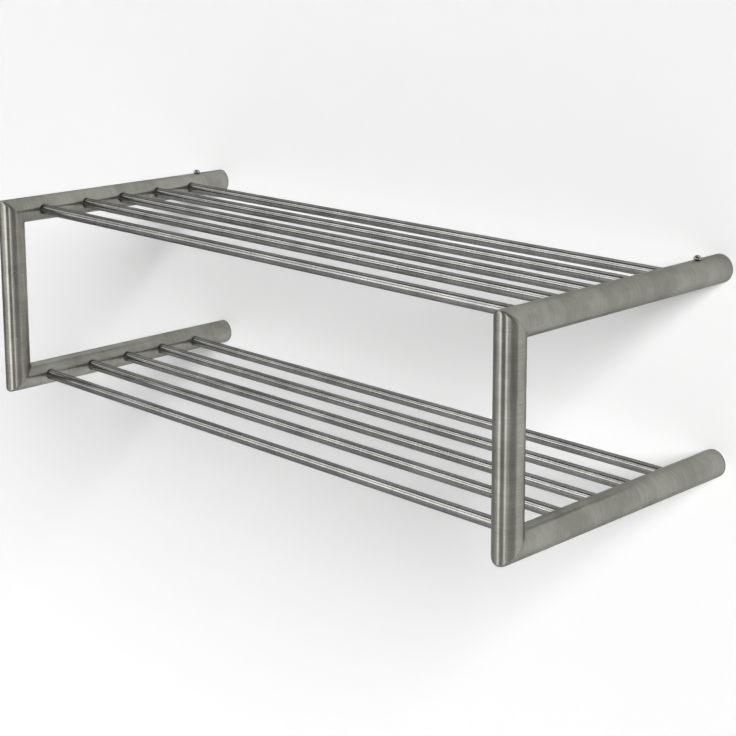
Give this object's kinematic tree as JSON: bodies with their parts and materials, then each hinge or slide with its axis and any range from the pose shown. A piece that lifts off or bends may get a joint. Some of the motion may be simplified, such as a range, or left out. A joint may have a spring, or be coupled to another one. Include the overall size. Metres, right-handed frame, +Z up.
{
  "type": "wall shoe rack",
  "caption": "Wall-mounted rack with shelves of round rods between mitred tubular side frames, pushed onto wall spigots and clamped from above by socket screws.",
  "frame": {"origin": "on the wall plane, midway between the two wall screws", "axes": "+X to the right along the shelf rods as seen from the room, +Y into the wall, +Z up"},
  "size_m": [0.82, 0.342, 0.2416],
  "materials": {
    "frame_steel": "satin, brushed along the tubes",
    "rod_steel": "fine satin, ground round the rods",
    "bracket_steel": "turned, fine rings",
    "screw_steel": "bright stainless",
    "cap_plastic": "matt moulded grey"
  },
  "bodies": {
    "wall_brackets": {"left_wall_bracket": "bracket_steel", "right_wall_bracket": "bracket_steel"},
    "rack": {"left_upper_arm": "frame_steel", "left_upright": "frame_steel", "left_lower_arm": "frame_steel", "right_upper_arm": "frame_steel", "right_upright": "frame_steel", "right_lower_arm": "frame_steel", "upper_rod_1": "rod_steel", "upper_rod_2": "rod_steel", "upper_rod_3": "rod_steel", "upper_rod_4": "rod_steel", "upper_rod_5": "rod_steel", "lower_rod_1": "rod_steel", "lower_rod_2": "rod_steel", "lower_rod_3": "rod_steel", "lower_rod_4": "rod_steel", "lower_rod_5": "rod_steel", "left_end_cap": "cap_plastic", "right_end_cap": "cap_plastic"},
    "left_screw": {"left_clamp_screw": "screw_steel"},
    "right_screw": {"right_clamp_screw": "screw_steel"}
  },
  "joints": [
    {"name": "rack_pull_off", "type": "slide", "parent": "wall_brackets", "child": "rack", "axis": [0, -1, 0], "range_m": [0, 0.054]},
    {"name": "left_screw_travel", "type": "slide", "parent": "rack", "child": "left_screw", "axis": [0, 0, 1], "range_m": [0, 0.0045]},
    {"name": "right_screw_travel", "type": "slide", "parent": "rack", "child": "right_screw", "axis": [0, 0, 1], "range_m": [0, 0.0045]}
  ]
}
